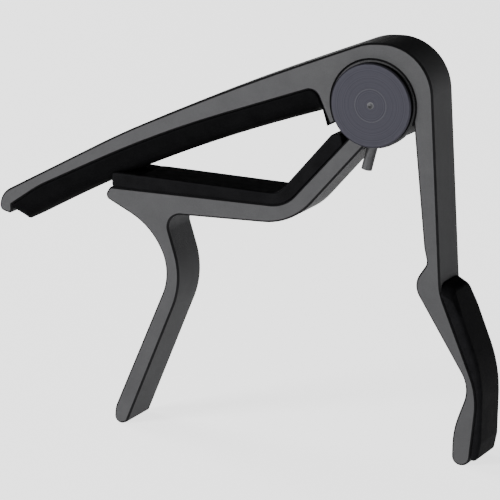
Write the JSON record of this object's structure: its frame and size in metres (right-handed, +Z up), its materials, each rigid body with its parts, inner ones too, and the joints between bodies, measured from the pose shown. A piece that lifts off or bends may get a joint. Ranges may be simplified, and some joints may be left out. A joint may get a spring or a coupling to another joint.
{
  "type": "guitar capo",
  "caption": "Spring guitar capo: padded string bar and L-shaped neck jaw on one pivot, with a gripped handle and a bare finger lever.",
  "frame": {"origin": "on the surface it stands on, under the middle of the overall box; the capo stands closed on the tip of its finger lever and the heel of its handle", "axes": "+X from the string bar's tip towards the handle, +Y from the front side face to the rear one, +Z up"},
  "size_m": [0.1216, 0.0162, 0.0959],
  "materials": {
    "dark_anodised_plate": "bead-blasted, dark grey anodised",
    "blued_disc": "turned face, dark blue-grey anodised",
    "pad_rubber": "smooth black rubber",
    "grip_rubber": "fine-grained black rubber",
    "liner_plastic": "black low-friction plastic",
    "bright_steel": "ground steel",
    "dark_spring_steel": "blackened spring wire"
  },
  "bodies": {
    "arm": {"upper_arm": "dark_anodised_plate", "string_pad": "pad_rubber", "handle_grip": "grip_rubber", "socket_liner": "liner_plastic"},
    "jaw": {"lower_jaw": "dark_anodised_plate", "neck_pad": "pad_rubber", "pivot_disc_front": "blued_disc", "pivot_disc_rear": "blued_disc", "pivot_pin": "bright_steel", "spring_sleeve": "liner_plastic", "torsion_spring": "dark_spring_steel"}
  },
  "joints": [
    {"name": "jaw_pivot", "type": "hinge", "parent": "arm", "child": "jaw", "pos_m": [0.03333, 0, 0.08176], "axis": [0, -1, 0], "range_deg": [0, 35], "stiffness_Nm_per_rad": 0.6, "springref_deg": -68.75}
  ]
}
